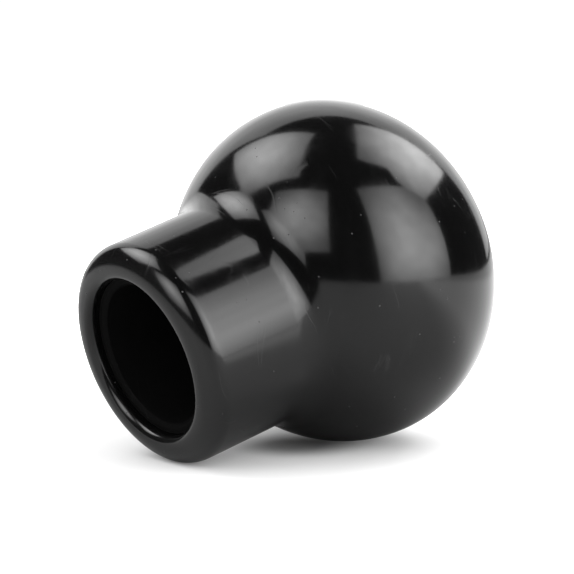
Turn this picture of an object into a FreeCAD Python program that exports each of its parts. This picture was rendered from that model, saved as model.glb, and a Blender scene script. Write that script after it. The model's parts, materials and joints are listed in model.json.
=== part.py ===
import FreeCAD, Part
import math
import os
import Sketcher

# Case opening friction ball: a glossy ball grip with a hollow neck whose rounded lip and rubber sleeve
# grip the back of a watch case.  It lies on a bench on its ball and its lip, with its mouth towards -Y.
#
# Every piece is turned about the tool axis and is drawn in its own frame: origin in the middle of the
# ball's widest circle, +Z out of the mouth.  The pieces share one placement, which lays the tool down.

# Driving dimensions, in millimetres and degrees.
DIMENSIONS = (
    ("ball_radius", 30.0),       # from the tool axis to the ball's widest line
    ("ball_back", 25.2),         # from the widest line back to the rear pole, along the tool axis
    ("ball_front", 27.4),        # from the widest line to the front pole, which lies inside the neck
    ("neck_radius", 19.1),       # at the mouth
    ("neck_draft", 0.9),         # half angle by which the neck widens towards the ball
    ("root_round", 7.9),         # fillet between the neck and the ball
    ("lip_round", 3.8),          # rounded outer edge of the mouth
    ("inner_round", 1.4),        # rounded inner edge of the mouth
    ("bore_radius", 13.7),       # mouth, and the seat of the sleeve behind it
    ("rest_tilt", 16.8),         # how far the mouth points down when the tool lies on a bench
    ("skin_wall", 2.8),          # thickness of the moulded skin
    ("core_wall", 2.4),          # thickness of the hollow core under it
    ("lip_depth", 3.2),          # depth of the lip in front of the core's tube
    ("shoulder_depth", 16.5),    # from the mouth to the shoulder that stops the sleeve
    ("shoulder_hole", 11.4),     # radius of the hole through the shoulder
    ("spigot_length", 2.0),      # overlap of the two halves of the core
    ("spigot_wall", 1.2),        # thickness of that overlap
    ("spigot_gap", 0.1),         # room left for glue in that joint
    ("sleeve_recess", 2.2),      # from the mouth to the front of the sleeve
    ("sleeve_wall", 1.5),
    ("sleeve_gap", 0.05),        # radial clearance of the sleeve in its seat
    ("sleeve_lead", 0.6),        # chamfer at the sleeve's inner edges
)

# Derived lengths, as formulas on the sheet's cells.
LIE_HEIGHT = "sqrt((Dims.ball_front * sin(Dims.rest_tilt))^2 + (Dims.ball_radius * cos(Dims.rest_tilt))^2)"
LIE_BACK = "sqrt((Dims.ball_back * cos(Dims.rest_tilt))^2 + (Dims.ball_radius * sin(Dims.rest_tilt))^2)"
# Radius of the circle on which the lip's rounded edge is centred, behind the drafted neck wall.
LIP_CENTRE = (
    "(Dims.neck_radius + Dims.lip_round * tan(Dims.neck_draft) - Dims.lip_round / cos(Dims.neck_draft))"
)
# The lip's rounded edge touches the bench together with the ball, which sets how far the mouth stands out.
MOUTH = (
    f"(Dims.lip_round + ({LIE_HEIGHT} - Dims.lip_round"
    f" - {LIP_CENTRE} * cos(Dims.rest_tilt)) / sin(Dims.rest_tilt))"
)
LIE_FRONT = (
    f"(({MOUTH} - Dims.lip_round) * cos(Dims.rest_tilt)"
    f" + {LIP_CENTRE} * sin(Dims.rest_tilt) + Dims.lip_round)"
)
CORE_RADIUS = "(Dims.ball_radius - Dims.skin_wall)"
CORE_BACK = "(Dims.ball_back - Dims.skin_wall)"
CORE_FRONT = "(Dims.ball_front - Dims.skin_wall)"
CORE_ROOT_ROUND = "(Dims.root_round + Dims.skin_wall)"
CORE_TUBE_RADIUS = "(Dims.neck_radius - Dims.skin_wall)"
CORE_TUBE_END = f"({MOUTH} - Dims.lip_depth)"
CAVITY_RADIUS = f"({CORE_RADIUS} - Dims.core_wall)"
CAVITY_BACK = f"({CORE_BACK} - Dims.core_wall)"
CAVITY_FRONT = f"({CORE_FRONT} - Dims.core_wall)"
SHOULDER = f"({MOUTH} - Dims.shoulder_depth)"
SPIGOT_RADIUS = f"({CAVITY_RADIUS} + Dims.spigot_wall)"
SLEEVE_FRONT = f"({MOUTH} - Dims.sleeve_recess)"
SLEEVE_RADIUS = "(Dims.bore_radius - Dims.sleeve_gap)"
SLEEVE_HOLE = f"({SLEEVE_RADIUS} - Dims.sleeve_wall)"

BISECTIONS = 60    # halvings used to find where a fillet meets an oval
FLAT = 1e-3        # mm; an edge whose height is less than this lies square to the axis

doc = FreeCAD.newDocument("friction_ball")


def make_sheet():
    sheet = doc.addObject("Spreadsheet::Sheet", "Dims")
    for row, (alias, value) in enumerate(DIMENSIONS, start=1):
        sheet.set(f"A{row}", alias)
        sheet.set(f"B{row}", str(value))
        sheet.setAlias(f"B{row}", alias)
    doc.recompute()
    return sheet


def amount(formula):
    """The number that a formula on the sheet gives."""
    return float(sheet.evalExpression(formula))


def new_body(name):
    body = doc.addObject("PartDesign::Body", name)
    body.Label = name
    return body


def new_sketch(body, name):
    """A sketch in the half plane through the tool axis: x is the radius, y is the height on the axis."""
    sketch = body.newObject("Sketcher::SketchObject", name)
    plane = next(item for item in body.Origin.OriginFeatures if item.Role == "XZ_Plane")
    sketch.AttachmentSupport = [(plane, "")]
    sketch.MapMode = "FlatFace"
    return sketch


def bind_last(sketch, formula):
    """Names the newest constraint of a sketch and ties it to a formula."""
    index = sketch.ConstraintCount - 1
    sketch.renameConstraint(index, f"size_{index}")
    sketch.setExpression(f"Constraints.size_{index}", formula)


def draw_polygon(body, name, corners):
    """A closed outline of straight lines through corners given as (radius formula, height formula)."""
    sketch = new_sketch(body, name)
    points = [FreeCAD.Vector(amount(radius), amount(height), 0) for radius, height in corners]
    count = len(points)
    for at in range(count):
        sketch.addGeometry(Part.LineSegment(points[at], points[(at + 1) % count]))
    for at in range(count):
        sketch.addConstraint(Sketcher.Constraint("Coincident", at, 2, (at + 1) % count, 1))
    for at, (radius, height) in enumerate(corners):
        for formula, value, axis, kind in (
            (radius, points[at].x, -2, "DistanceX"),
            (height, points[at].y, -1, "DistanceY"),
        ):
            if formula == "0":
                sketch.addConstraint(Sketcher.Constraint("PointOnObject", at, 1, axis))
            else:
                sketch.addConstraint(Sketcher.Constraint(kind, -1, 1, at, 1, value))
                bind_last(sketch, formula)
    return sketch


def add_oval(sketch, radius, depth, begin, end, bind_radius=True):
    """Adds an arc of an ellipse about the origin and gives its number.  Its angles, in radians, are -90
    degrees at the rear pole, 0 at the widest line and 90 degrees at the pole on the mouth's side.  Without
    bind_radius its radius is left to follow from what its end is joined to."""
    wide, deep = amount(radius), amount(depth)
    ellipse = Part.Ellipse(FreeCAD.Vector(0, 0, 0), wide, deep)
    oval = sketch.addGeometry(Part.ArcOfEllipse(ellipse, begin, end))
    sketch.exposeInternalGeometry(oval)
    long_axis, short_axis = oval + 1, oval + 2
    sketch.addConstraint(Sketcher.Constraint("Coincident", oval, 3, -1, 1))
    sketch.addConstraint(Sketcher.Constraint("Horizontal", long_axis))
    if bind_radius:
        sketch.addConstraint(Sketcher.Constraint("Distance", long_axis, 2 * wide))
        bind_last(sketch, f"2 * {radius}")
    sketch.addConstraint(Sketcher.Constraint("Distance", short_axis, 2 * deep))
    bind_last(sketch, f"2 * {depth}")
    return oval


def draw_half_oval(body, name, radius, depth, start):
    """A quarter of an ellipse closed along its axes: start is -90 for the rear half, 0 for the front."""
    sketch = new_sketch(body, name)
    wide, deep = amount(radius), amount(depth)
    oval = add_oval(sketch, radius, depth, math.radians(start), math.radians(start + 90))
    rim, origin = FreeCAD.Vector(wide, 0, 0), FreeCAD.Vector(0, 0, 0)
    pole = FreeCAD.Vector(0, deep if start == 0 else -deep, 0)
    rim_end, pole_end = (1, 2) if start == 0 else (2, 1)
    spoke = sketch.addGeometry(Part.LineSegment(origin, rim))
    shaft = sketch.addGeometry(Part.LineSegment(origin, pole))
    sketch.addConstraint(Sketcher.Constraint("PointOnObject", oval, rim_end, -1))
    sketch.addConstraint(Sketcher.Constraint("PointOnObject", oval, pole_end, -2))
    joints = ((spoke, 1, -1, 1), (shaft, 1, -1, 1), (spoke, 2, oval, rim_end), (shaft, 2, oval, pole_end))
    for joint in joints:
        sketch.addConstraint(Sketcher.Constraint("Coincident", *joint))
    return sketch


def find_fillet(wide, deep, tube, slope, size):
    """Where a fillet of the given size joins an oval to a tube's wall, seen in the half plane through the
    axis.  The wall passes through the point tube and leans in by slope (radians) on its way up.
    Gives the oval's angle at the joint, the fillet's centre and the joint on the wall."""
    out = FreeCAD.Vector(math.cos(slope), math.sin(slope), 0)
    low, high = 0.0, math.pi / 2
    for _ in range(BISECTIONS):
        angle = (low + high) / 2
        on_oval = FreeCAD.Vector(wide * math.cos(angle), deep * math.sin(angle), 0)
        normal = FreeCAD.Vector(math.cos(angle) / wide, math.sin(angle) / deep, 0).normalize()
        centre = on_oval + normal * size
        if (centre - tube).dot(out) > size:
            low = angle
        else:
            high = angle
    return angle, on_oval, centre, centre - out * size


def draw_bulb(body, name, radius, depth, tube_radius, tube_end, draft, fillet, back=None):
    """Outline of the front half of an oval ball with a tube standing on it and a fillet between them.
    With back given, the rear half of the ball is drawn too, that deep."""
    sketch = new_sketch(body, name)
    wide, deep, size = amount(radius), amount(depth), amount(fillet)
    top = FreeCAD.Vector(amount(tube_radius), amount(tube_end), 0)
    angle, on_oval, centre, on_tube = find_fillet(wide, deep, top, math.radians(amount(draft)), size)
    oval = add_oval(sketch, radius, depth, 0, angle)
    sketch.addConstraint(Sketcher.Constraint("PointOnObject", oval, 1, -1))

    below, above = on_oval - centre, on_tube - centre
    middle = centre + (below + above).normalize() * size
    round_arc = sketch.addGeometry(Part.Arc(on_oval, middle, on_tube))
    lower, upper = ((2, 1) if (below.cross(above)).z < 0 else (1, 2))
    sketch.addConstraint(Sketcher.Constraint("Tangent", oval, 2, round_arc, lower))
    sketch.addConstraint(Sketcher.Constraint("Radius", round_arc, size))
    bind_last(sketch, fillet)

    wall = sketch.addGeometry(Part.LineSegment(on_tube, top))
    sketch.addConstraint(Sketcher.Constraint("Tangent", round_arc, upper, wall, 1))
    sketch.addConstraint(Sketcher.Constraint("Angle", wall, math.radians(90 + amount(draft))))
    bind_last(sketch, f"90 + {draft}")
    sketch.addConstraint(Sketcher.Constraint("DistanceX", -1, 1, wall, 2, top.x))
    bind_last(sketch, tube_radius)
    sketch.addConstraint(Sketcher.Constraint("DistanceY", -1, 1, wall, 2, top.y))
    bind_last(sketch, tube_end)

    foot, origin = FreeCAD.Vector(0, top.y, 0), FreeCAD.Vector(0, 0, 0)
    cap = sketch.addGeometry(Part.LineSegment(top, foot))
    sketch.addConstraint(Sketcher.Constraint("Horizontal", cap))
    sketch.addConstraint(Sketcher.Constraint("PointOnObject", cap, 2, -2))
    if back:
        rear = add_oval(sketch, radius, back, math.radians(-90), 0, bind_radius=False)
        sketch.addConstraint(Sketcher.Constraint("PointOnObject", rear, 1, -2))
        shaft = sketch.addGeometry(Part.LineSegment(foot, FreeCAD.Vector(0, -amount(back), 0)))
        joints = ((rear, 2, oval, 1), (shaft, 2, rear, 1))
    else:
        shaft = sketch.addGeometry(Part.LineSegment(foot, origin))
        spoke = sketch.addGeometry(Part.LineSegment(origin, FreeCAD.Vector(wide, 0, 0)))
        joints = ((shaft, 2, -1, 1), (spoke, 1, -1, 1), (spoke, 2, oval, 1))
    for joint in ((wall, 2, cap, 1), (cap, 2, shaft, 1), *joints):
        sketch.addConstraint(Sketcher.Constraint("Coincident", *joint))
    return sketch


def turn(body, name, sketch, cut=False):
    """Turns a sketch once round the tool axis, adding to the body or cutting from it."""
    before = body.Shape.Volume if cut else 0.0
    feature = body.newObject("PartDesign::Groove" if cut else "PartDesign::Revolution", name)
    feature.Profile = sketch
    feature.ReferenceAxis = (sketch, ["V_Axis"])
    feature.Angle = 360
    doc.recompute()
    if cut and not body.Shape.Volume < before:
        raise RuntimeError(f"{name} cuts nothing")


def round_ring(body, name, radius, height, size):
    """Fillets the ring edge of the body nearest to the given radius and height."""
    tip = body.Tip
    rings = []
    for number, edge in enumerate(tip.Shape.Edges, start=1):
        box = edge.BoundBox
        if box.ZLength < FLAT < box.XLength:
            miss = math.hypot(box.XLength / 2 - radius, box.Center.z - height)
            rings.append((miss, f"Edge{number}"))
    feature = body.newObject("PartDesign::Fillet", name)
    feature.Base = (tip, [min(rings)[1]])
    feature.Radius = amount(size)
    feature.setExpression("Radius", size)
    doc.recompute()


def lay_down(body):
    """Lays a piece in the tool's own frame on the bench, its box centred on the origin."""
    body.Placement = FreeCAD.Placement(
        FreeCAD.Vector(0, 0, 0), FreeCAD.Rotation(FreeCAD.Vector(1, 0, 0), 90 + amount("Dims.rest_tilt"))
    )
    body.setExpression("Placement.Base.y", f"({LIE_FRONT} - {LIE_BACK}) / 2")
    body.setExpression("Placement.Base.z", LIE_HEIGHT)
    body.setExpression("Placement.Rotation.Angle", "90 + Dims.rest_tilt")


def make_ball_skin():
    """Glossy moulded skin: ball, neck and rolled lip in one piece, moulded over the core."""
    body = new_body("ball_skin")
    outline = draw_bulb(body, "outside_outline", "Dims.ball_radius", "Dims.ball_front", "Dims.neck_radius",
                        MOUTH, "Dims.neck_draft", "Dims.root_round", back="Dims.ball_back")
    turn(body, "outside", outline)
    outline = draw_bulb(body, "core_space_outline", CORE_RADIUS, CORE_FRONT, CORE_TUBE_RADIUS,
                        CORE_TUBE_END, "0", CORE_ROOT_ROUND, back=CORE_BACK)
    turn(body, "core_space", outline, cut=True)
    hole = (
        ("0", SHOULDER), ("Dims.bore_radius", SHOULDER), ("Dims.bore_radius", MOUTH), ("0", MOUTH),
    )
    turn(body, "mouth_hole", draw_polygon(body, "mouth_hole_outline", hole), cut=True)
    mouth = amount(MOUTH)
    round_ring(body, "lip", amount("Dims.neck_radius"), mouth, "Dims.lip_round")
    round_ring(body, "inner_edge", amount("Dims.bore_radius"), mouth, "Dims.inner_round")
    return body


def make_core_front():
    """Front half of the hollow core: a dome and the tube that backs the neck and seats the sleeve."""
    body = new_body("core_front")
    outline = draw_bulb(body, "outside_outline", CORE_RADIUS, CORE_FRONT, CORE_TUBE_RADIUS,
                        CORE_TUBE_END, "0", CORE_ROOT_ROUND)
    turn(body, "outside", outline)
    turn(body, "cavity", draw_half_oval(body, "cavity_outline", CAVITY_RADIUS, CAVITY_FRONT, 0), cut=True)
    seat = (
        ("0", "0"), ("Dims.shoulder_hole", "0"), ("Dims.shoulder_hole", SHOULDER),
        ("Dims.bore_radius", SHOULDER), ("Dims.bore_radius", CORE_TUBE_END), ("0", CORE_TUBE_END),
    )
    turn(body, "seat", draw_polygon(body, "seat_outline", seat), cut=True)
    socket = (
        ("0", "0"), (SPIGOT_RADIUS, "0"),
        (SPIGOT_RADIUS, "Dims.spigot_length"), ("0", "Dims.spigot_length"),
    )
    turn(body, "socket", draw_polygon(body, "socket_outline", socket), cut=True)
    return body


def make_core_rear():
    """Rear half of the hollow core: a dome with a spigot that plugs into the front half."""
    body = new_body("core_rear")
    turn(body, "dome", draw_half_oval(body, "dome_outline", CORE_RADIUS, CORE_BACK, -90))
    turn(body, "cavity", draw_half_oval(body, "cavity_outline", CAVITY_RADIUS, CAVITY_BACK, -90), cut=True)
    outer = f"({SPIGOT_RADIUS} - Dims.spigot_gap)"
    top = "(Dims.spigot_length - Dims.spigot_gap)"
    spigot = ((CAVITY_RADIUS, "0"), (outer, "0"), (outer, top), (CAVITY_RADIUS, top))
    turn(body, "spigot", draw_polygon(body, "spigot_outline", spigot))
    return body


def make_friction_sleeve():
    """Rubber sleeve that grips the case back; it pulls out through the mouth to be renewed."""
    body = new_body("friction_sleeve")
    lead = f"({SLEEVE_HOLE} + Dims.sleeve_lead)"
    wall = (
        (SLEEVE_HOLE, f"({SHOULDER} + Dims.sleeve_lead)"),
        (lead, SHOULDER),
        (SLEEVE_RADIUS, SHOULDER),
        (SLEEVE_RADIUS, SLEEVE_FRONT),
        (lead, SLEEVE_FRONT),
        (SLEEVE_HOLE, f"({SLEEVE_FRONT} - Dims.sleeve_lead)"),
    )
    turn(body, "wall", draw_polygon(body, "wall_outline", wall))
    return body


def check(pieces):
    """Stops the script if the document or a piece is not sound."""
    for item in doc.Objects:
        if "Invalid" in item.State or "Error" in item.State:
            raise RuntimeError(f"{item.Label}: {item.State}")
    for piece in pieces:
        if piece.Shape.isNull() or not piece.Shape.isValid() or len(piece.Shape.Solids) != 1:
            raise RuntimeError(f"{piece.Label}: shape is not one valid solid")


sheet = make_sheet()
pieces = [make_ball_skin(), make_core_front(), make_core_rear(), make_friction_sleeve()]
for piece in pieces:
    lay_down(piece)
doc.recompute()
check(pieces)

os.makedirs("parts", exist_ok=True)
for piece in pieces:
    piece.Shape.exportStep(os.path.join("parts", f"{piece.Label}.step"))
    box = piece.Shape.BoundBox
    print(f"{piece.Label}: {piece.Shape.Volume:.1f} mm3, x {box.XMin:.3f} {box.XMax:.3f},"
          f" y {box.YMin:.3f} {box.YMax:.3f}, z {box.ZMin:.3f} {box.ZMax:.3f}")
print(f"mouth {amount(MOUTH):.4f}, lie height {amount(LIE_HEIGHT):.4f},"
      f" centre y {(amount(LIE_FRONT) - amount(LIE_BACK)) / 2:.4f}")
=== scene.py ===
import json
import math

import bmesh
import bpy
from mathutils import Matrix, Vector


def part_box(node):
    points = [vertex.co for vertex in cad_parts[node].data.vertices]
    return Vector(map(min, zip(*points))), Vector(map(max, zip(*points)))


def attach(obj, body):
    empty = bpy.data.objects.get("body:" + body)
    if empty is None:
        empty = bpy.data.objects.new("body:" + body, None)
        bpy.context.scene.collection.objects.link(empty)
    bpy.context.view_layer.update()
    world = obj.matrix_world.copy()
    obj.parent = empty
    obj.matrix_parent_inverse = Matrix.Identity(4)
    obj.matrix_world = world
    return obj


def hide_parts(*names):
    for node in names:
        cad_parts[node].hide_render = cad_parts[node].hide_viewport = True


# Looks of the case opening friction ball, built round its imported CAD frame. Lengths are in metres.

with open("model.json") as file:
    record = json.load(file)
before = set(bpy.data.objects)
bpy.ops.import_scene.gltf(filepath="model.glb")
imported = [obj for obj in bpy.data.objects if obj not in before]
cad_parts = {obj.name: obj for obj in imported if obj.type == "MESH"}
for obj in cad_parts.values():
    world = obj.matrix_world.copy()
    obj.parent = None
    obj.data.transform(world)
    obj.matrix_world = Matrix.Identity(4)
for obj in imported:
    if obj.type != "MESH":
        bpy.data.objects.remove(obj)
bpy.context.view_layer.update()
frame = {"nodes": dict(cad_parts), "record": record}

# ---------------------------------------------------------------- where the tool lies, from the frame

mounts = {mount["name"]: mount for mount in frame["record"]["mounts"]}
AXIS = Vector(mounts["mouth_rim"]["axis"]).normalized()
low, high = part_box("ball_skin")
BALL_RADIUS = (high.x - low.x) / 2
BALL_FRONT = 0.0274          # from the ball's widest circle to its front pole, along the axis
BALL_BACK = 0.0252           # and to its rear pole
centre_height = math.hypot(BALL_FRONT * AXIS.z, BALL_RADIUS * AXIS.y)
bore_middle = Vector(mounts["sleeve_bore"]["pos_m"])
CENTRE = bore_middle + AXIS * ((centre_height - bore_middle.z) / AXIS.z)
MOUTH = (Vector(mounts["mouth_rim"]["pos_m"]) - CENTRE).dot(AXIS)

# ---------------------------------------------------------------- the tool's profile, as in the CAD

NECK_RADIUS = 0.0191
NECK_DRAFT = math.radians(0.9)
ROOT_ROUND = 0.0079
LIP_ROUND = 0.0038
INNER_ROUND = 0.0014
BORE_RADIUS = 0.0137
SKIN_WALL = 0.0028
LIP_DEPTH = 0.0032
SHOULDER_DEPTH = 0.0165
SLEEVE_RECESS = 0.0022
SLEEVE_WALL = 0.0015
SLEEVE_GAP = 0.00005
SLEEVE_LEAD = 0.0006
SLEEVE_EDGE = 0.00015
SEGMENTS = 224               # round each turned piece
BISECTIONS = 60
ON_AXIS = 1e-9               # a profile point nearer than this to the axis is a pole
SHARP_ANGLE = math.radians(30)


def find_fillet(wide, deep, tube, slope, size):
    """Where a fillet joins an ellipse to a tube's wall through the point tube, in the (radius, height)
    plane. Gives the ellipse's angle there and the fillet's centre."""
    out = Vector((math.cos(slope), math.sin(slope)))
    near, far = 0.0, math.pi / 2
    for _ in range(BISECTIONS):
        angle = (near + far) / 2
        normal = Vector((math.cos(angle) / wide, math.sin(angle) / deep)).normalized()
        centre = Vector((wide * math.cos(angle), deep * math.sin(angle))) + normal * size
        if (centre - tube).dot(out) > size:
            near = angle
        else:
            far = angle
    return angle, centre


def oval(centre, wide, deep, start, end, steps):
    """Points of a stretch of an ellipse in the (radius, height) plane, its angles in radians."""
    points = []
    for at in range(steps + 1):
        angle = start + (end - start) * at / steps
        points.append((centre[0] + wide * math.cos(angle), centre[1] + deep * math.sin(angle)))
    return points


def arc(centre, size, start, end, steps):
    return oval(centre, size, size, start, end, steps)


def straight(start, end, steps):
    """Points between two others, without the ends."""
    return [
        tuple(a + (b - a) * at / steps for a, b in zip(start, end))
        for at in range(1, steps)
    ]


def bulb(wide, back, deep, tube, slope, size, oval_steps, fillet_steps):
    """Profile of an oval ball from its rear pole, up to where a fillet ends on its tube."""
    angle, centre = find_fillet(wide, deep, Vector(tube), slope, size)
    middle = (0.0, 0.0)
    points = oval(middle, wide, back, -math.pi / 2, 0.0, oval_steps)
    points[0] = (0.0, -back)
    points += oval(middle, wide, deep, 0.0, angle, oval_steps // 2)[1:]
    normal = math.atan2(math.sin(angle) / deep, math.cos(angle) / wide)
    points += arc(centre, size, normal + math.pi, slope + math.pi, fillet_steps)[1:]
    return points


def ring_at(work, radius, height):
    """Vertices of a circle about the tool's axis. A circle of radius 0 is a pole, a single vertex."""
    side = Vector((1, 0, 0))
    up = AXIS.cross(side)
    foot = CENTRE + AXIS * height
    if radius < ON_AXIS:
        return [work.verts.new(foot)]
    ring = []
    for at in range(SEGMENTS):
        angle = 2 * math.pi * at / SEGMENTS
        ring.append(work.verts.new(foot + (side * math.cos(angle) + up * math.sin(angle)) * radius))
    return ring


def join_rings(work, lower, upper):
    """A band of faces between two circles, either of which may be a pole."""
    for at in range(SEGMENTS):
        after = (at + 1) % SEGMENTS
        if len(lower) == 1:
            corners = (lower[0], upper[after], upper[at])
        elif len(upper) == 1:
            corners = (lower[at], lower[after], upper[0])
        else:
            corners = (lower[at], lower[after], upper[after], upper[at])
        work.faces.new(corners)


def lathe(name, profile, closed):
    """Turns a profile of (radius, height) points about the tool's axis. A closed profile is a ring's
    cross-section. Edges sharper than SHARP_ANGLE stay sharp."""
    work = bmesh.new()
    rings = [ring_at(work, radius, height) for radius, height in profile]
    pairs = list(zip(rings, rings[1:]))
    if closed:
        pairs.append((rings[-1], rings[0]))
    for lower, upper in pairs:
        join_rings(work, lower, upper)
    bmesh.ops.recalc_face_normals(work, faces=work.faces)
    for face in work.faces:
        face.smooth = True
    for edge in work.edges:
        if edge.calc_face_angle(0.0) > SHARP_ANGLE:
            edge.smooth = False
    mesh = bpy.data.meshes.new(name)
    work.to_mesh(mesh)
    work.free()
    piece = bpy.data.objects.new(name, mesh)
    bpy.context.scene.collection.objects.link(piece)
    return piece


def skin_profile():
    """From the ball's rear pole over the neck and the lip, down the bore, and back inside to the pole."""
    tube = (NECK_RADIUS, MOUTH)
    points = bulb(
        BALL_RADIUS, BALL_BACK, BALL_FRONT, tube, NECK_DRAFT, ROOT_ROUND,
        oval_steps=80, fillet_steps=26
    )
    lip_centre = NECK_RADIUS + LIP_ROUND * math.tan(NECK_DRAFT) - LIP_ROUND / math.cos(NECK_DRAFT)
    lip = arc((lip_centre, MOUTH - LIP_ROUND), LIP_ROUND, NECK_DRAFT, math.pi / 2, steps=26)
    points += straight(points[-1], lip[0], steps=14) + lip
    inner_centre = (BORE_RADIUS + INNER_ROUND, MOUTH - INNER_ROUND)
    inner = arc(inner_centre, INNER_ROUND, math.pi / 2, math.pi, steps=10)
    points += inner
    step = MOUTH - LIP_DEPTH
    tube_radius = NECK_RADIUS - SKIN_WALL
    points += straight(inner[-1], (BORE_RADIUS, step), steps=4)
    points += [(BORE_RADIUS, step), (tube_radius, step)]
    inside = bulb(
        BALL_RADIUS - SKIN_WALL, BALL_BACK - SKIN_WALL, BALL_FRONT - SKIN_WALL,
        (tube_radius, step), 0.0, ROOT_ROUND + SKIN_WALL, oval_steps=32, fillet_steps=12
    )
    return points + inside[::-1]


def rounded(corners, size, steps=4):
    """A closed polygon in the (radius, height) plane with its corners rounded."""
    points = []
    count = len(corners)
    for at in range(count):
        here = Vector(corners[at])
        before = (Vector(corners[at - 1]) - here).normalized()
        after = (Vector(corners[(at + 1) % count]) - here).normalized()
        half = before.angle(after) / 2
        reach = size / math.tan(half)
        centre = here + (before + after).normalized() * (size / math.sin(half))
        first, last = here + before * reach - centre, here + after * reach - centre
        for step in range(steps + 1):
            ray = first.lerp(last, step / steps).normalized() * size
            points.append(tuple(centre + ray))
    return points


def sleeve_profile():
    """Cross-section of the rubber sleeve, chamfered at its inner edges."""
    outer = BORE_RADIUS - SLEEVE_GAP
    inner = outer - SLEEVE_WALL
    back, front = MOUTH - SHOULDER_DEPTH, MOUTH - SLEEVE_RECESS
    lead = inner + SLEEVE_LEAD
    corners = [
        (inner, back + SLEEVE_LEAD), (lead, back), (outer, back),
        (outer, front), (lead, front), (inner, front - SLEEVE_LEAD),
    ]
    return rounded(corners, SLEEVE_EDGE)


# ---------------------------------------------------------------- materials

# Noise and cell scales are cells per metre, because a piece's own coordinates are metres in the row frame.
SCRATCH_BEND = 0.004         # how far a scratch is pushed off its straight line
SCRATCH_PATCHES = 95.0       # scratches come in patches of about a centimetre
SCRATCH_PATCH_EDGE = 0.06
WANDER_SCALE = 60.0
SPECK_CORE = 0.6             # a speck is solid up to this share of its size
BORE_FROM = 0.00003          # the duller bore ends this far outside the bore's radius
BORE_TO = 0.00015
RUBBED_DEPTH = 0.0022        # of the lip, from the mouth
RIPPLE_HEIGHT = 0.000002
GLOSS_GRAIN_HEIGHT = 0.0000015
SCRATCH_DEPTH = 0.000003
RUBBER_GRAIN_HEIGHT = 0.00002
CORE_GRAIN_HEIGHT = 0.000018
OUTER_FROM = 0.0003          # the sleeve's worn outer wall starts this far inside the bore's radius
OUTER_TO = 0.0001
STREAKS_ACROSS = 2200.0      # streaks on it are short across the axis and long along it
STREAKS_ALONG = 150.0


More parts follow.
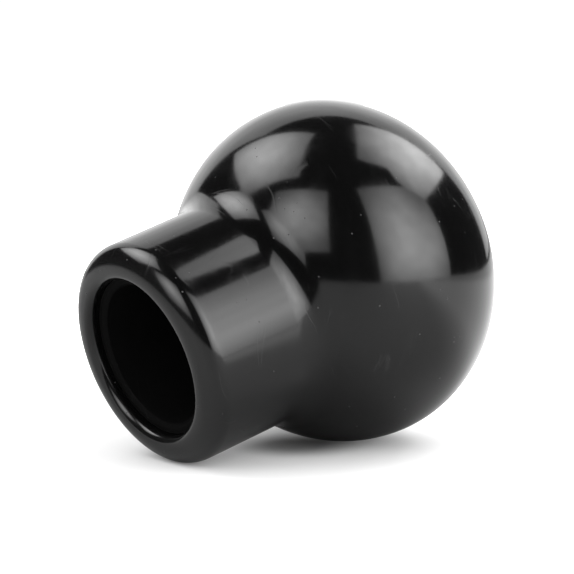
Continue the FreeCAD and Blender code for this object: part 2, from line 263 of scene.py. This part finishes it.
class Nodes:
    """Short names for building one material's node tree."""

    MIX_FIRST, MIX_SECOND, MIX_RESULT = 6, 7, 2    # a Mix node's colour sockets, whose names repeat

    def __init__(self, name):
        self.material = bpy.data.materials.new(name)
        self.material.use_nodes = True
        self.tree = self.material.node_tree
        self.tree.nodes.clear()
        self.output = self.add("ShaderNodeOutputMaterial")

    def add(self, kind, **settings):
        node = self.tree.nodes.new(kind)
        for name, value in settings.items():
            setattr(node, name, value)
        return node

    def feed(self, socket, value):
        if isinstance(value, bpy.types.NodeSocket):
            self.tree.links.new(value, socket)
        elif value is not None:
            socket.default_value = value

    def place(self):
        """The point on the piece, in metres in the row frame."""
        return self.add("ShaderNodeTexCoord").outputs["Object"]

    def maths(self, operation, a, b, clamp=False):
        node = self.add("ShaderNodeMath", operation=operation, use_clamp=clamp)
        for socket, value in zip(node.inputs, (a, b)):
            self.feed(socket, value)
        return node.outputs[0]

    def vector(self, operation, a, b=None, scale=None):
        node = self.add("ShaderNodeVectorMath", operation=operation)
        self.feed(node.inputs[0], a)
        if b is not None:
            self.feed(node.inputs[1], b)
        if scale is not None:
            self.feed(node.inputs["Scale"], scale)
        return node.outputs["Value" if operation in ("DOT_PRODUCT", "LENGTH") else "Vector"]

    def stretch(self, point, turn, scale):
        """The point turned (degrees) and scaled."""
        node = self.add("ShaderNodeMapping")
        self.feed(node.inputs["Vector"], point)
        node.inputs["Rotation"].default_value = [math.radians(part) for part in turn]
        node.inputs["Scale"].default_value = scale
        return node.outputs["Vector"]

    def noise(self, point, scale, detail, roughness=0.5, output="Fac"):
        node = self.add("ShaderNodeTexNoise")
        self.feed(node.inputs["Vector"], point)
        node.inputs["Scale"].default_value = scale
        node.inputs["Detail"].default_value = detail
        node.inputs["Roughness"].default_value = roughness
        return node.outputs[output]

    def cells(self, point, scale, feature="F1"):
        node = self.add("ShaderNodeTexVoronoi", feature=feature)
        self.feed(node.inputs["Vector"], point)
        node.inputs["Scale"].default_value = scale
        return node

    def between(self, value, from_low, from_high, to_low=0.0, to_high=1.0, smooth=True):
        node = self.add("ShaderNodeMapRange", interpolation_type="SMOOTHSTEP" if smooth else "LINEAR")
        for name, amount in (
            ("Value", value), ("From Min", from_low), ("From Max", from_high),
            ("To Min", to_low), ("To Max", to_high),
        ):
            self.feed(node.inputs[name], amount)
        return node.outputs["Result"]

    def blend(self, share, first, second):
        """A colour between two others."""
        node = self.add("ShaderNodeMix", data_type="RGBA")
        self.feed(node.inputs[0], share)
        self.feed(node.inputs[self.MIX_FIRST], first)
        self.feed(node.inputs[self.MIX_SECOND], second)
        return node.outputs[self.MIX_RESULT]

    def bump(self, height, distance, strength=1.0, normal=None):
        node = self.add("ShaderNodeBump")
        node.inputs["Distance"].default_value = distance
        node.inputs["Strength"].default_value = strength
        self.feed(node.inputs["Height"], height)
        if normal is not None:
            self.feed(node.inputs["Normal"], normal)
        return node.outputs["Normal"]

    def principled(self, **sockets):
        node = self.add("ShaderNodeBsdfPrincipled")
        for name, value in sockets.items():
            self.feed(node.inputs[name.replace("_", " ")], value)
        self.tree.links.new(node.outputs[0], self.output.inputs["Surface"])
        return node

    def scratches(self, point, turn, scale, width, amount):
        """Thin curved lines, 1 on the line and 0 off it, on a given share of the surface."""
        wander = self.noise(point, WANDER_SCALE, detail=2.0, output="Color")
        bent = self.vector("ADD", point, self.vector("SCALE", wander, scale=SCRATCH_BEND))
        lines = self.cells(self.stretch(bent, turn, scale), 1.0, "DISTANCE_TO_EDGE").outputs["Distance"]
        line = self.between(lines, 0.0, width, 1.0, 0.0, smooth=False)
        patches = self.noise(self.stretch(point, turn, (1, 1, 1)), SCRATCH_PATCHES, detail=2.0)
        least = 1.0 - amount
        patch = self.between(patches, least, least + SCRATCH_PATCH_EDGE)
        return self.maths("MULTIPLY", line, patch)

    def specks(self, point, scale, size, share):
        """Small round specks in a share of the cells."""
        node = self.cells(point, scale)
        dot = self.between(node.outputs["Distance"], size * SPECK_CORE, size, 1.0, 0.0)
        pick = self.add("ShaderNodeSeparateColor")
        self.feed(pick.inputs[0], node.outputs["Color"])
        chosen = self.maths("LESS_THAN", pick.outputs[0], share)
        return self.maths("MULTIPLY", dot, chosen)


def grey(level, coolness=1.0):
    return (level, level, level * coolness, 1.0)


def along_and_across(make, point):
    """A place's height along the tool's axis from the ball's centre, and its offset square to the axis."""
    from_centre = make.vector("SUBTRACT", point, tuple(CENTRE))
    height = make.vector("DOT_PRODUCT", from_centre, tuple(AXIS))
    across = make.vector("SUBTRACT", from_centre, make.vector("SCALE", tuple(AXIS), scale=height))
    return height, across


def gloss_material():
    """Glossy black moulded plastic: faint moulding ripple, handling scratches, dust, a rubbed lip."""
    make = Nodes("gloss_black_plastic")
    point = make.place()
    height, across = along_and_across(make, point)
    from_axis = make.vector("LENGTH", across)
    bore = make.between(from_axis, BORE_RADIUS + BORE_FROM, BORE_RADIUS + BORE_TO, 1.0, 0.0)
    rub = make.between(height, MOUTH - RUBBED_DEPTH, MOUTH)
    clouds = make.noise(point, 38.0, detail=4.0)
    fine = make.noise(point, 420.0, detail=4.0)
    long_lines = make.scratches(point, turn=(20, 35, 0), scale=(40, 420, 40), width=0.02, amount=0.40)
    cross_lines = make.scratches(point, turn=(70, -20, 50), scale=(520, 50, 50), width=0.018, amount=0.38)
    lines = make.maths("MAXIMUM", long_lines, cross_lines)
    coarse_dust = make.specks(point, 330.0, size=0.065, share=0.05)
    fine_dust = make.specks(point, 640.0, size=0.11, share=0.22)
    dust = make.maths("MAXIMUM", coarse_dust, fine_dust)
    smears = make.noise(make.stretch(point, (0, 0, 25), (260, 260, 60)), 1.0, detail=4.0, roughness=0.6)

    shade = make.blend(clouds, grey(0.0009, 1.04), grey(0.0014, 1.02))
    for mark, share, pale in ((rub, 0.25, 0.012), (lines, 0.15, 0.04), (dust, 0.45, 0.06)):
        shade = make.blend(make.maths("MULTIPLY", mark, share), shade, grey(pale))

    rough = make.between(clouds, 0.3, 0.7, 0.085, 0.115)
    rough = make.maths("ADD", rough, make.between(smears, 0.42, 0.68, 0.0, 0.04))
    for mark, duller in ((fine, 0.02), (rub, 0.05), (lines, 0.16), (dust, 0.5), (bore, 0.08)):
        rough = make.maths("ADD", rough, make.maths("MULTIPLY", mark, duller), clamp=True)

    ripple = make.bump(make.noise(point, 240.0, detail=1.0), RIPPLE_HEIGHT)
    grain = make.bump(fine, GLOSS_GRAIN_HEIGHT, normal=ripple)
    cut = make.bump(make.maths("MULTIPLY", lines, -1.0), SCRATCH_DEPTH, normal=grain)
    make.principled(Base_Color=shade, Roughness=rough, IOR=1.5, Normal=cut)
    return make.material


def rubber_material():
    """Matte black moulded rubber with a fine grain, a few pale rub marks and lint. Its outer wall, which is
    pushed along the bore, is greyed and streaked along the axis."""
    make = Nodes("black_rubber")
    point = make.place()
    height, across = along_and_across(make, point)
    outer = make.between(make.vector("LENGTH", across), BORE_RADIUS - OUTER_FROM, BORE_RADIUS - OUTER_TO)
    square = make.vector("SCALE", across, scale=STREAKS_ACROSS)
    along = make.vector("SCALE", tuple(AXIS), scale=make.maths("MULTIPLY", height, STREAKS_ALONG))
    streaks = make.noise(make.vector("ADD", square, along), 1.0, detail=4.0)
    clouds = make.noise(point, 120.0, detail=4.0)
    grain = make.noise(point, 3200.0, detail=2.0)
    marks = make.scratches(point, turn=(15, 60, 10), scale=(60, 420, 60), width=0.03, amount=0.45)
    lint = make.specks(point, 420.0, size=0.09, share=0.03)
    shade = make.blend(clouds, grey(0.0016), grey(0.0038))
    shade = make.blend(make.maths("MULTIPLY", marks, 0.3), shade, grey(0.008))
    worn = make.blend(make.between(streaks, 0.3, 0.75), grey(0.008), grey(0.015))
    shade = make.blend(outer, shade, worn)
    shade = make.blend(make.maths("MULTIPLY", lint, 0.3), shade, grey(0.05))
    rough = make.between(clouds, 0.3, 0.7, 0.62, 0.78)
    normal = make.bump(grain, RUBBER_GRAIN_HEIGHT, strength=0.6)
    make.principled(Base_Color=shade, Roughness=rough, IOR=1.52, Specular_IOR_Level=0.03, Normal=normal)
    return make.material


def core_material():
    """Matte dark moulded plastic with an eroded-tool grain and flow marks."""
    make = Nodes("matte_core_plastic")
    point = make.place()
    flow = make.noise(make.stretch(point, (0, 0, 0), (60, 15, 60)), 3.0, detail=4.0)
    grain = make.noise(point, 2400.0, detail=3.0)
    shade = make.blend(flow, grey(0.0018, 1.05), grey(0.0036, 1.03))
    rough = make.between(grain, 0.3, 0.7, 0.50, 0.66)
    normal = make.bump(grain, CORE_GRAIN_HEIGHT, strength=0.7)
    make.principled(Base_Color=shade, Roughness=rough, IOR=1.5, Normal=normal)
    return make.material


# ---------------------------------------------------------------- pieces

gloss = gloss_material()
rubber = rubber_material()
core = core_material()

skin = lathe("ball_skin_turned", skin_profile(), closed=False)
skin.data.materials.append(gloss)
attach(skin, "handle")
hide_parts("ball_skin")

sleeve = lathe("friction_sleeve_moulded", sleeve_profile(), closed=True)
sleeve.data.materials.append(rubber)
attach(sleeve, "sleeve")
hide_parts("friction_sleeve")

for name in ("core_front", "core_rear"):
    node = frame["nodes"][name]
    node.data.materials.clear()
    node.data.materials.append(core)

# ---------------------------------------------------------------- studio

CAMERA_AZIMUTH = 51.98       # degrees from the side the mouth faces
CAMERA_ELEVATION = 5.80      # degrees above the floor
CAMERA_DISTANCE = 0.345
CAMERA_LENS = 124.27         # millimetres, on a 36 mm wide sensor
CAMERA_ASIDE = 0.00824       # the picture's middle lies this far left of the ball's centre
CAMERA_BELOW = 0.00284       # and this far below it
SENSOR_WIDTH = 36.0
SOFTBOX_DISTANCE = 0.65      # from the ball's centre
CLOTH_DARKEST = 0.88         # what the softboxes' cloth lets through, as a share of the lamp
CLOTH_LIGHTEST = 1.10
FLOOR_GRAIN_HEIGHT = 0.00002

# Where the floor's looks change, by distance from the point below the ball's centre.
EDGE_FROM, EDGE_TO = 0.32, 0.60          # the board's brightness goes over to its share at the edge
SWEEP_FROM, SWEEP_TO = 0.06, 0.26        # the sweep's even light comes up
BEHIND_FROM, BEHIND_TO = 0.009, 0.060    # the light behind the object comes up, towards BEHIND_AZIMUTH
BEHIND_AZIMUTH = 135
# And by distance from the middle of the painted contact shadow's dark spot.
SPOT_FROM, SPOT_TO = 0.004, 0.014        # the first of the sweep's light comes up
SPOT_SHARE = 0.09                        # how much of it that is


def direction(azimuth, elevation):
    """Unit vector; azimuth is counted in degrees from the camera's side, elevation from the floor."""
    turn, rise = math.radians(CAMERA_AZIMUTH + azimuth), math.radians(elevation)
    return Vector((math.sin(turn) * math.cos(rise), -math.cos(turn) * math.cos(rise), math.sin(rise)))


def panel(name, corners):
    """A flat four-sided sheet with its picture coordinates from 0 to 1."""
    mesh = bpy.data.meshes.new(name)
    mesh.from_pydata([tuple(corner) for corner in corners], [], [(0, 1, 2, 3)])
    layer = mesh.uv_layers.new(name="UVMap")
    for loop, place in zip(layer.data, ((0, 0), (1, 0), (1, 1), (0, 1))):
        loop.uv = place
    sheet = bpy.data.objects.new(name, mesh)
    bpy.context.scene.collection.objects.link(sheet)
    return sheet


def glow(name, middle, reach, bright, dim):
    """Light that is brightest at one place of a panel and falls off round it, through uneven cloth."""
    make = Nodes(name)
    place = make.add("ShaderNodeTexCoord").outputs["UV"]
    off = make.vector("SUBTRACT", place, (middle[0], middle[1], 0.0))
    far = make.vector("LENGTH", make.vector("MULTIPLY", off, (1 / reach[0], 1 / reach[1], 0.0)))
    cloth = make.noise(make.stretch(place, (0, 0, 30), (1.0, 1.6, 1.0)), 3.4, detail=3.0, roughness=0.6)
    lamp = make.between(far, 0.0, 1.0, bright, dim)
    power = make.maths("MULTIPLY", lamp, make.between(cloth, 0.3, 0.7, CLOTH_DARKEST, CLOTH_LIGHTEST))
    light = make.add("ShaderNodeEmission")
    make.feed(light.inputs["Strength"], power)
    make.tree.links.new(light.outputs[0], make.output.inputs["Surface"])
    return make.material


def softbox(name, distance, corners, middle, reach, bright, dim):
    """A lit panel whose corners are seen from the ball's centre in the given (azimuth, elevation)
    directions: lower left, lower right, upper right, upper left."""
    rays = [direction(*corner) for corner in corners]
    facing = sum(rays, Vector()).normalized()
    points = [CENTRE + ray * (distance / ray.dot(facing)) for ray in rays]
    sheet = panel(name, points)
    sheet.data.materials.append(glow(name + "_light", middle, reach, bright, dim))
    sheet.visible_camera = False
    sheet.visible_shadow = False
    return sheet


softbox("softbox_right_front", SOFTBOX_DISTANCE, ((21.7, -7.0), (78.6, -4.0), (81.0, 42.9), (14.0, 55.3)),
        middle=(0.52, 0.47), reach=(0.66, 0.74), bright=6.5, dim=1.3)
softbox("softbox_left_front", SOFTBOX_DISTANCE, ((-56.1, 7.2), (-12.8, 12.5), (-16.9, 51.9), (-63.5, 43.0)),
        middle=(0.52, 0.54), reach=(0.66, 0.62), bright=4.9, dim=1.2)
softbox("softbox_right_top", SOFTBOX_DISTANCE, ((70.9, 37.2), (136.5, 26.8), (162.5, 62.2), (45.3, 77.1)),
        middle=(0.62, 0.39), reach=(0.8, 0.76), bright=7.0, dim=1.6)
softbox("softbox_left_top", SOFTBOX_DISTANCE, ((-134.1, 34.4), (-85.5, 32.5), (-52.3, 57.2), (-145.1, 72.7)),
        middle=(0.50, 0.47), reach=(0.72, 0.68), bright=6.3, dim=1.7)
softbox("backdrop_light", 1.0, ((140, 0), (220, 0), (220, 46), (140, 46)),
        middle=(0.5, 0.3), reach=(0.7, 0.75), bright=1.4, dim=1.1)
# The flag is an unlit black card that only the gloss sees and that casts no shadow; it paints a dark band
# into the neck's reflection.
softbox("flag", 0.2, ((46.4, 55.2), (60.3, 54.1), (64.0, 61.5), (34.2, 72.2)),
        middle=(0.5, 0.5), reach=(1.0, 1.0), bright=0.0, dim=0.0)


def floor_material(name, level, contact, edge, fade, behind):
    """Pale board. contact is a painted contact shadow, a darker spot in the board's colour where the ball
    touches it: its share of the brightness, how far it lies towards the neck, and its inner and outer
    radius. edge is the share of brightness left far from the object, a painted dimming of the far board.
    fade and behind are painted light, a glow of the board's own, which is no lamp: fade is the even light
    that the board gives off away from the object, like a lit sweep, and behind is what it gives off behind
    the object and to its right."""
    make = Nodes(name)
    point = make.place()
    clouds = make.noise(point, 6.0, detail=3.0)
    shade = make.blend(clouds, grey(level * 0.98), grey(level))
    grain = make.bump(make.noise(point, 900.0, detail=2.0), FLOOR_GRAIN_HEIGHT, strength=0.3)
    far = make.vector("LENGTH", make.vector("SUBTRACT", point, (CENTRE.x, CENTRE.y, 0.0)))
    share, lean, inner, outer = contact
    spot = (CENTRE.x + AXIS.x * lean, CENTRE.y + AXIS.y * lean, 0.0)
    from_shadow_spot = make.vector("LENGTH", make.vector("SUBTRACT", point, spot))
    # Painted contact shadow: the board's colour darkens towards the spot where the ball touches it.
    shade = make.blend(make.between(from_shadow_spot, inner, outer), grey(level * share), shade)
    # Painted shade: far from the object the board's colour falls to its edge share.
    shade = make.blend(make.between(far, EDGE_FROM, EDGE_TO), shade, grey(level * edge))

    from_centre = make.vector("SUBTRACT", point, tuple(CENTRE))
    back = make.vector("DOT_PRODUCT", from_centre, tuple(direction(BEHIND_AZIMUTH, 0)))
    # Painted light: the board glows of itself, rising away from the object and from the contact shadow, and
    # more behind the object to its right.
    lit = make.between(far, SWEEP_FROM, SWEEP_TO, 0.0, fade)
    lit = make.maths("ADD", lit, make.between(from_shadow_spot, SPOT_FROM, SPOT_TO, 0.0, fade * SPOT_SHARE))
    lit = make.maths("ADD", lit, make.between(back, BEHIND_FROM, BEHIND_TO, 0.0, behind))
    make.principled(
        Base_Color=shade, Roughness=0.6, IOR=1.4, Normal=grain,
        Emission_Color=(1.0, 1.0, 1.0, 1.0), Emission_Strength=lit
    )
    return make.material


def slab(name, toward, away, aside, height, paint):
    """A level floor, measured from below the ball's centre: towards the camera, away from it and to each
    side."""
    forward = direction(0, 0)
    side = Vector((0, 0, 1)).cross(forward)
    foot = Vector((CENTRE.x, CENTRE.y, height))
    corners = [
        foot + forward * toward - side * aside, foot + forward * toward + side * aside,
        foot - forward * away + side * aside, foot - forward * away - side * aside,
    ]
    sheet = panel(name, corners)
    sheet.data.materials.append(paint)
    return sheet


# The camera sees the bright floor, and the gloss mirrors a darker table top just above it.
floor_paint = floor_material(
    "floor_paint", level=0.8, contact=(0.5, 0.009, 0.002, 0.013), edge=1.0, fade=1.0, behind=1.2)
floor = slab("floor", toward=6.0, away=6.0, aside=6.0, height=0.0, paint=floor_paint)
floor.visible_glossy = False
table_paint = floor_material(
    "table_top_paint", level=0.36, contact=(0.35, 0.0, 0.004, 0.029), edge=0.3, fade=0.0, behind=0.9)
table = slab("table_top", toward=0.33, away=1.6, aside=1.6, height=0.00003, paint=table_paint)
table.visible_camera = False
table.visible_diffuse = False
table.visible_shadow = False


ROOM_LEVEL = 0.04            # what the gloss mirrors between the softboxes
WHITE_LEVEL = 1.05           # the white sweep behind the object, which also fills the floor's shadows


def make_world():
    """White behind the object and on the floor, and a dim room in the object's gloss."""
    world = bpy.data.worlds.new("studio_room")
    bpy.context.scene.world = world
    world.use_nodes = True
    tree = world.node_tree
    tree.nodes.clear()
    output = tree.nodes.new("ShaderNodeOutputWorld")
    room = tree.nodes.new("ShaderNodeBackground")
    room.inputs["Color"].default_value = (1, 1, 1, 1)
    path = tree.nodes.new("ShaderNodeLightPath")
    level = tree.nodes.new("ShaderNodeMapRange")
    level.inputs["To Min"].default_value = ROOM_LEVEL
    level.inputs["To Max"].default_value = WHITE_LEVEL
    white = tree.nodes.new("ShaderNodeMath")
    white.operation = "MAXIMUM"
    tree.links.new(path.outputs["Is Camera Ray"], white.inputs[0])
    tree.links.new(path.outputs["Is Diffuse Ray"], white.inputs[1])
    tree.links.new(white.outputs[0], level.inputs["Value"])
    tree.links.new(level.outputs["Result"], room.inputs["Strength"])
    tree.links.new(room.outputs[0], output.inputs["Surface"])


make_world()


def make_camera():
    """At the photograph's viewing angle, with the ball right of the picture's middle and above it."""
    data = bpy.data.cameras.new("camera")
    data.sensor_width = SENSOR_WIDTH
    data.lens = CAMERA_LENS
    data.clip_start = 0.01
    data.clip_end = 50.0
    back = direction(0, CAMERA_ELEVATION)
    right = Vector((0, 0, 1)).cross(back).normalized()
    up = back.cross(right)
    camera = bpy.data.objects.new("camera", data)
    turn = Matrix((right, up, back)).transposed().to_4x4()
    aim = CENTRE - right * CAMERA_ASIDE - up * CAMERA_BELOW
    camera.matrix_world = Matrix.Translation(aim + back * CAMERA_DISTANCE) @ turn
    bpy.context.scene.collection.objects.link(camera)
    bpy.context.scene.camera = camera


make_camera()
bpy.context.scene.view_settings.view_transform = "Standard"

bpy.context.view_layer.update()
